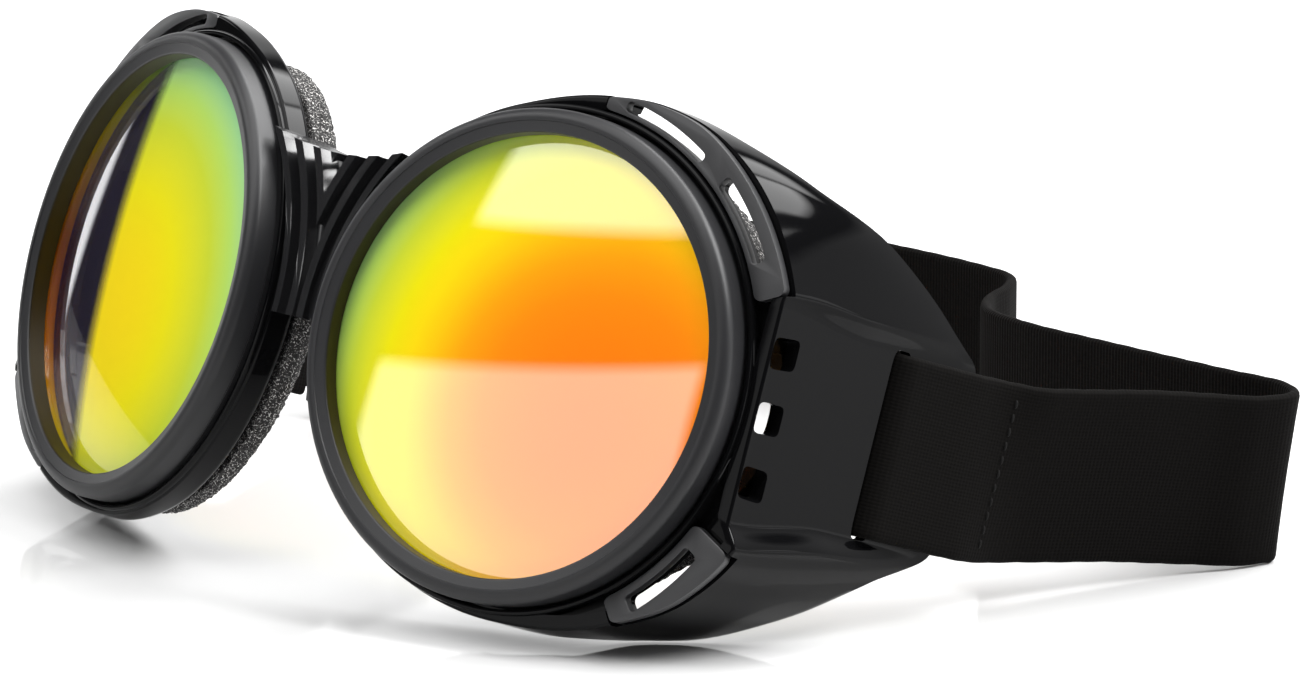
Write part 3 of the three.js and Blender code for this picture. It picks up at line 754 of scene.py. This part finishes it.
def lens(side):
    radius, rim, thickness, dome = LENS["radius"], LENS["rim"], LENS["thickness"], LENS["dome"]
    rings, steps = 24, 128
    turns = [2 * math.pi * j / steps for j in range(steps)]
    points, faces = [], []
    for surface in (0, thickness):
        points.append((0, rim - dome + surface, 0))
        for i in range(1, rings + 1):
            r = radius * i / rings
            depth = rim - dome * (1 - (r / radius) ** 2) + surface
            points += [(r * math.cos(turn), depth, r * math.sin(turn)) for turn in turns]
    layer = 1 + rings * steps

    def at(base, i, j):
        return base + 1 + (i - 1) * steps + j % steps
    for base, way in ((0, 1), (layer, -1)):
        for j in range(steps):
            faces.append((base, at(base, 1, j), at(base, 1, j + 1))[::way])
            for i in range(1, rings):
                faces.append((at(base, i, j), at(base, i + 1, j), at(base, i + 1, j + 1),
                              at(base, i, j + 1))[::way])
    for j in range(steps):
        faces.append((at(0, rings, j), at(layer, rings, j), at(layer, rings, j + 1),
                      at(0, rings, j + 1)))
    piece = new_object(f"{side}_lens_glass", points, faces, cup_matrix(side))
    recalculate(piece)
    coating = piece.data.attributes.new("coating", "FLOAT", "POINT")
    reach = [math.dist((x, z), HOT_SPOT) / COATING_REACH for x, y, z in points]
    coating.data.foreach_set("value", [0.8 * share ** 2.2 for share in reach])
    shade(piece, COATING, 40)
    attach(piece, f"{side}_lens_body")
    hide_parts(f"{side}_lens")


# ---- foam pads --------------------------------------------------------------
def foam_material():
    """Open-cell foam: dark, with painted highlights as pale flecks on some cell walls between the
    pores.
    """
    material = plain_material("charcoal_foam", (0.03, 0.03, 0.032), 0.95, 2600, 0.3, 0.03)
    tree = material.node_tree
    where = tree.nodes["Texture Coordinate"].outputs["Object"]
    cells = node(tree, "ShaderNodeTexVoronoi", feature="DISTANCE_TO_EDGE", Scale=1900, Vector=where)
    walls = node(tree, "ShaderNodeMapRange", Value=cells.outputs["Distance"],
                 From_Min=0.1, From_Max=0.0)
    # Painted highlights: pale flecks on the cell walls wherever this noise is high.
    glint_noise = node(tree, "ShaderNodeTexNoise", Scale=3600, Detail=2, Vector=where)
    painted_glints = node(tree, "ShaderNodeMapRange", Value=glint_noise.outputs["Fac"], From_Min=0.5, From_Max=0.6)
    painted_glint_mask = calc(tree, "MULTIPLY", walls.outputs["Result"], painted_glints.outputs["Result"])
    colour = colour_ramp(tree, painted_glint_mask, [(0, (0.016, 0.0155, 0.0155)), (1, (0.75, 0.73, 0.71))])
    feed(tree.nodes["Principled BSDF"].inputs["Base Color"], colour)
    return material


FOAM = foam_material()
FOAM_PAD = {"soft_edge": 2.4, "past_ledge": 1.5, "lift": 1}    # lift: the tape's thickness
PORES = {"coarse": 1400, "fine": 3000, "fine_share": 0.6, "depth": 0.24, "sink": 0.05}


def vertex_arrays(mesh):
    places = np.empty(len(mesh.vertices) * 3, dtype=np.float32)
    normals = np.empty(len(mesh.vertices) * 3, dtype=np.float32)
    mesh.vertices.foreach_get("co", places)
    mesh.vertex_normals.foreach_get("vector", normals)
    return places.reshape(-1, 3), normals.reshape(-1, 3)


def foam_pad(side):
    """Pad on its tape, with soft rear edges and real pores."""
    soft = FOAM_PAD["soft_edge"]

    def profile(angle):
        inner = along(LEDGE_RADIUS, angle) - FOAM_PAD["past_ledge"]
        outer = along(FOAM_OUTER, angle)
        front = along(LEDGE_DEPTH, angle) + FOAM_PAD["lift"]
        rear = along(FOAM_REAR, angle)
        points = [(inner, front), (lerp(inner, outer, 0.5), front), (outer, front)]
        points += [(outer, lerp(front, rear - soft, i / 8)) for i in range(1, 8)]
        points += arc_points((outer - soft, rear - soft), soft, 0, 90, 8)
        points += arc_points((inner + soft, rear - soft), soft, 90, 180, 8)
        points += [(inner, lerp(rear - soft, front, i / 8)) for i in range(1, 8)]
        return points
    pad = band(f"{side}_foam_cushion", profile, cup_matrix(side), 360)
    subdivide = pad.modifiers.new("subdivide", "SUBSURF")
    subdivide.levels = subdivide.render_levels = 1
    subdivide.subdivision_type = "SIMPLE"
    applied(pad)
    places, normals = vertex_arrays(pad.data)
    rough = np.array([noise.noise(Vector(p) * PORES["coarse"])
                      + PORES["fine_share"] * noise.noise(Vector(p) * PORES["fine"])
                      for p in places])
    places += normals * (rough[:, None] * PORES["depth"] - PORES["sink"]) * MM
    pad.data.vertices.foreach_set("co", places.ravel())
    shade(pad, FOAM, 180)
    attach(pad, f"{side}_cup")
    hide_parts(f"{side}_foam_pad")


# ---- nose bridge ------------------------------------------------------------
BRIDGE = {"half_width": 19.5, "bottom": -2, "dip": 21, "top": 25, "front": -3.6, "back": 3.8,
          "first_groove": 2.6, "groove": 0.75, "pitch": 3.1, "grooves": 3, "gap": 0.3,
          "steps": 200, "bends_within": 7}


def half_space(side):
    """Block over one side's half of the bridge."""
    far, reach = SIDES[side] * 90, 60
    square = [(-reach, -reach), (reach, -reach), (reach, reach), (-reach, reach)]
    rows = [[(x, y, z) for y, z in square] for x in (0, far)]
    return solid_of_rows("half", rows, GOGGLES, False)


def bridge_groove(side, r):
    """Cutter for one round-bottomed groove round a lens axis, kept to its own side's half."""
    surface = (BRIDGE["front"] + r * math.sin(CUP_YAW)) / math.cos(CUP_YAW)
    width = BRIDGE["groove"]
    mouth, lip, above = width + 0.15, surface + 0.1, surface - 8
    bottom = arc_points((r, surface + width), width, 0, 180, 12)
    section = [(r - mouth, above), (r + mouth, above), (r + mouth, lip), *bottom, (r - mouth, lip)]
    groove = band("cutter", constant(section), cup_matrix(side), BRIDGE["steps"])
    return combine(groove, [half_space(side)], "INTERSECT")


def nose_bridge():
    """Flexible web between the cups.

    Its ribs are concentric with the lens rings and meet in the middle plane.
    """
    half, top, dip = BRIDGE["half_width"], BRIDGE["top"], BRIDGE["dip"]
    outline = [(-half, BRIDGE["bottom"]), (half, BRIDGE["bottom"])]
    for i in range(41):
        x = lerp(half, -half, i / 40)
        outline.append((x, dip + (top - dip) * (x / half) ** 2))
    web = prism("nose_bridge_web", outline, BRIDGE["front"], BRIDGE["back"], GOGGLES)
    edge = REAR_RADIUS[0][1]
    clear, past = edge + 2 * BRIDGE["gap"], 30
    cup_space = constant([(5, -past), (clear, -past), (clear, past), (5, past)])
    cutters = []
    for side in SIDES:
        cutters.append(band("cutter", cup_space, cup_matrix(side), BRIDGE["steps"]))
        cutters += [bridge_groove(side, edge + BRIDGE["first_groove"] + i * BRIDGE["pitch"])
                    for i in range(BRIDGE["grooves"])]
    combine(web, cutters, "DIFFERENCE")
    bevel(web, 0.42, 4, 35)
    shade(web, RUBBERY, 50)
    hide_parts("nose_bridge")
    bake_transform(web)


# ---- strap ------------------------------------------------------------------
WING_UP = TILT @ Vector((0, 0, 1))
STRAP_PLACE = Matrix.Translation(CENTRE)
# From the left wing round behind to the right one: mm left, back and up from CENTRE.
STRAP_ROUTE = [(74.6, 58.5, -19.8), (75.4, 68, -21.4), (77.4, 80, -23), (79.6, 91, -24.8),
               (82.2, 98.5, -25.8), (82.4, 104, -26), (78, 107, -26), (65, 107.2, -26),
               (46, 107.6, -26), (28, 108.4, -26), (18, 111, -26), (12, 117, -26), (8.4, 124, -26),
               (3.6, 129.6, -26), (-5, 131.4, -26), (-24, 131.8, -26), (-44, 129.8, -26),
               (-61, 123, -26), (-72, 110.6, -26), (-76, 96, -25.2), (-76.2, 78, -22.8),
               (-75.6, 62, -20.4)]
# Ends inside the wings: (away from the wing, depth).
LEFT_TAIL = [(1.4, 63), (0.5, 57), (0, 51)]
RIGHT_TAIL = [(1.6, 65), (0.6, 57), (0, 51)]
OUTSIDE_RUN = (46, 52.5)    # depths where it lies along the wing's outside
# Behind the wings the webbing turns upright over RIGHTING and, on the left, comes to its lean.
RIGHTING = 12
LEAN_ACROSS, LEAN_BEHIND = (30, 74), (48, 64)


def tilted(x, y):
    return TILT @ Vector((x, y, 0))


def bar_loop(side, tail):
    """The strap's turn round the wing's bar, from inside the wing to outside it."""
    half = WALL / 2 + STRAP["stand_off"] + STRAP["thickness"] / 2
    middle = WING_PLANE - WALL / 2
    points = [tilted(side * (middle - half + x), y) for x, y in tail]
    for i in range(17):
        a = math.pi * i / 16
        out = side * (middle - half * math.cos(a))
        points.append(tilted(out, SLOT["rear"] - half * math.sin(a)))
    return points + [tilted(side * (middle + half), y) for y in OUTSIDE_RUN]


def between(values, t, j, k, x):
    """At x, on the line from values[j] at t[j] to the next value at t[k]."""
    span = t[k] - t[j]
    return values[j] * ((t[k] - x) / span) + values[j + 1] * ((x - t[j]) / span)


def catmull_rom(points, per_span=24):
    """Centripetal Catmull-Rom curve through the points."""
    padded = [points[0] * 2 - points[1], *points, points[-1] * 2 - points[-2]]
    curve = []
    for i in range(1, len(padded) - 2):
        p = padded[i - 1:i + 3]
        t = [0.0]
        for j in range(3):
            t.append(t[-1] + math.sqrt((p[j + 1] - p[j]).length))
        for k in range(per_span):
            x = lerp(t[1], t[2], k / per_span)
            a = [between(p, t, j, j + 1, x) for j in range(3)]
            b = [between(a, t, j, j + 2, x) for j in range(2)]
            curve.append(between(b, t[1:], 0, 1, x))
    return [*curve, points[-1]]


def respaced(points, step):
    """The same line with points a step apart, and how far along each one is."""
    places = np.array([tuple(p) for p in points])
    reach = np.concatenate(([0], np.cumsum(np.linalg.norm(np.diff(places, axis=0), axis=1))))
    count = max(2, round(reach[-1] / step) + 1)
    stations = np.linspace(0, reach[-1], count)
    line = [Vector([np.interp(x, reach, places[:, k]) for k in range(3)]) for x in stations]
    return line, stations


def strap_line(step=0.55):
    """Middle line of the strap with its width direction at each point."""
    left = bar_loop(1, LEFT_TAIL)
    right = bar_loop(-1, RIGHT_TAIL)[::-1]
    run = catmull_rom([*left[-2:], *(Vector(p) for p in STRAP_ROUTE), *right[:2]])
    first = catmull_rom(left[:-1])
    last = catmull_rom(right[1:])
    whole, stations = respaced([*first, *run[1:-1], *last], step)
    wing_end = left[-2].y

    def up(point):
        lean = STRAP["lean"] * smooth(*LEAN_ACROSS, point.x) * smooth(*LEAN_BEHIND, point.y)
        upright = Vector((math.tan(lean), 0, 1))
        return WING_UP.lerp(upright, smooth(wing_end, wing_end + RIGHTING, point.y)).normalized()
    return whole, [up(p) for p in whole], stations


def ribbon_section(half_width, half_thickness, columns=26):
    """Flat section with round edges, as (across, out) pairs."""
    reach = half_width - half_thickness
    front = [(lerp(-reach, reach, i / columns), half_thickness) for i in range(columns + 1)]
    near = [(x + reach, y) for x, y in arc_points((0, 0), half_thickness, 90, -90, 6)][1:-1]
    back = [(x, -y) for x, y in reversed(front)]
    far = [(-x, -y) for x, y in near]
    return front + near + back + far


def webbing_material():
    """Black elastic webbing: cross ribs, deeper on the inner face, courses, some fuzz, and painted
    shade in the weave's low parts.
    """
    material, tree, shader = new_material("elastic_webbing")
    shader.inputs["Roughness"].default_value = 0.85
    shader.inputs["Specular IOR Level"].default_value = 0.06
    weave = node(tree, "ShaderNodeAttribute", attribute_name="weave").outputs["Vector"]
    lengthwise, across, inside = node(tree, "ShaderNodeSeparateXYZ", Vector=weave).outputs

    def waves(distance, pitch):
        return calc(tree, "SINE", calc(tree, "MULTIPLY", distance, 2 * math.pi / pitch))
    rib_depth = calc(tree, "ADD", calc(tree, "MULTIPLY", inside, 0.75), 0.25)
    height = calc(tree, "ADD", calc(tree, "MULTIPLY", waves(lengthwise, 0.62), rib_depth),
                  calc(tree, "MULTIPLY", waves(across, 0.48), 0.3))
    fuzz = node(tree, "ShaderNodeTexNoise", Scale=2.2, Detail=4, Vector=weave)
    height = calc(tree, "ADD", height, calc(tree, "MULTIPLY", fuzz.outputs["Fac"], 0.9))
    bump = node(tree, "ShaderNodeBump", Strength=1, Distance=0.05 * MM, Height=height)
    feed(shader.inputs["Normal"], bump.outputs["Normal"])
    # Painted shade: the colour follows the weave's height, with low parts darker and rib tops
    # lighter; the fuzz adds random tone.
    painted_rib_shade = calc(tree, "ADD", calc(tree, "MULTIPLY", height, 0.22), 0.35)
    colour = colour_ramp(tree, painted_rib_shade, [(0.2, (0.0011, 0.0009, 0.0008)),
                                            (0.85, (0.0038, 0.0033, 0.0029))])
    feed(shader.inputs["Base Color"], colour)
    return material


WEBBING = webbing_material()


def strap_frames():
    """Along the strap: its middle, the directions across and out of it, and how far along it is."""
    line, ups, stations = strap_line()
    frames = []
    for i, (p, up) in enumerate(zip(line, ups)):
        tangent = (line[min(i + 1, len(line) - 1)] - line[max(i - 1, 0)]).normalized()
        across = (up - tangent * up.dot(tangent)).normalized()
        frames.append((p, across, tangent.cross(across).normalized(), float(stations[i])))
    return frames


STITCH = {"length": 1.3, "pitch": 1.95, "radius": 0.26, "each_way": 5, "proud": 0.02}


def stitching(name, sewn_at, link):
    """Row of thread across the strap, where its folded end is sewn down."""
    p, across, out, _ = sewn_at
    tangent = across.cross(out)
    rounds, rings = 8, 6
    height = STRAP["thickness"] / 2 + STITCH["proud"]
    points, faces = [], []
    for i in range(-STITCH["each_way"], STITCH["each_way"] + 1):
        base = len(points)
        middle = p + across * (i * STITCH["pitch"]) + out * height
        for j in range(rings + 1):
            turn = math.pi * j / rings
            radius = STITCH["radius"] * math.sin(turn)
            centre = middle - across * (STITCH["length"] / 2 * math.cos(turn))
            points += [centre + out * (radius * math.sin(2 * math.pi * k / rounds))
                       + tangent * (radius * math.cos(2 * math.pi * k / rounds))
                       for k in range(rounds)]
        for j in range(rings):
            low, high = base + j * rounds, base + (j + 1) * rounds
            faces += [(low + k, low + (k + 1) % rounds, high + (k + 1) % rounds, high + k)
                      for k in range(rounds)]
    piece = new_object(name, points, faces, STRAP_PLACE)
    weld(piece)
    recalculate(piece)
    shade(piece, THREAD, 60)
    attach(piece, link)
    return piece


SEWN_BEHIND_BAR = 16.5      # how far behind the wings' bars the ends are sewn, mm
RIPPLE = {"height": 0.06, "length": 1.24, "from": 0.9}     # the webbing's edges, by its ribs


def strap():
    frames = strap_frames()
    half_width = STRAP["width"] / 2
    section = ribbon_section(half_width, STRAP["thickness"] / 2)
    rows, weave = [], []
    for p, across, out, station in frames:
        ripple = RIPPLE["height"] * math.sin(station * 2 * math.pi / RIPPLE["length"])
        row = []
        for u, v in section:
            edge = smooth(RIPPLE["from"], 1, abs(u) / half_width)
            row.append(p + across * (u + edge * math.copysign(ripple, u)) + out * v)
            weave += (station, u, 1.0 if v < 0 else 0.0)
        rows.append(row)
    piece = solid_of_rows("strap_webbing", rows, STRAP_PLACE, False)
    piece.data.attributes.new("weave", "FLOAT_VECTOR", "POINT").data.foreach_set("vector", weave)
    shade(piece, WEBBING, 60)
    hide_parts("strap")
    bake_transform(piece)
    for side, way in SIDES.items():
        outside = [f for f in frames if f[0].x * way > WING_PLANE and f[0].y > SLOT["rear"]]
        sewn = min(outside, key=lambda f: abs(f[0].y - SLOT["rear"] - SEWN_BEHIND_BAR))
        stitching(f"{side}_strap_stitching", sewn, f"{side}_cup")


def adjuster():
    """The CAD adjuster with its edges rounded."""
    source = frame["nodes"]["strap_adjuster"]
    piece = bpy.data.objects.new("strap_adjuster_slide", source.data.copy())
    piece.matrix_world = source.matrix_world
    bpy.context.collection.objects.link(piece)
    weld(piece)
    bevel(piece, 0.45, 3, 40)
    shade(piece, GRAINED, 45)
    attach(piece, "adjuster")
    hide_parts("strap_adjuster")


# ---- assembly ---------------------------------------------------------------
def restyle(name, material):
    target = frame["nodes"][name]
    target.data.materials.clear()
    target.data.materials.append(material)


camera()
stage()
for side in SIDES:
    eyecup(side)
    vent_frame(side, "upper", UPPER_FRAME)
    vent_frame(side, "lower", LOWER_FRAME)
    lens_ring(side)
    lens(side)
    foam_pad(side)
    restyle(f"{side}_lens_gasket", RUBBERY)
    restyle(f"{side}_foam_tape", TAPE)
nose_bridge()
strap()
adjuster()
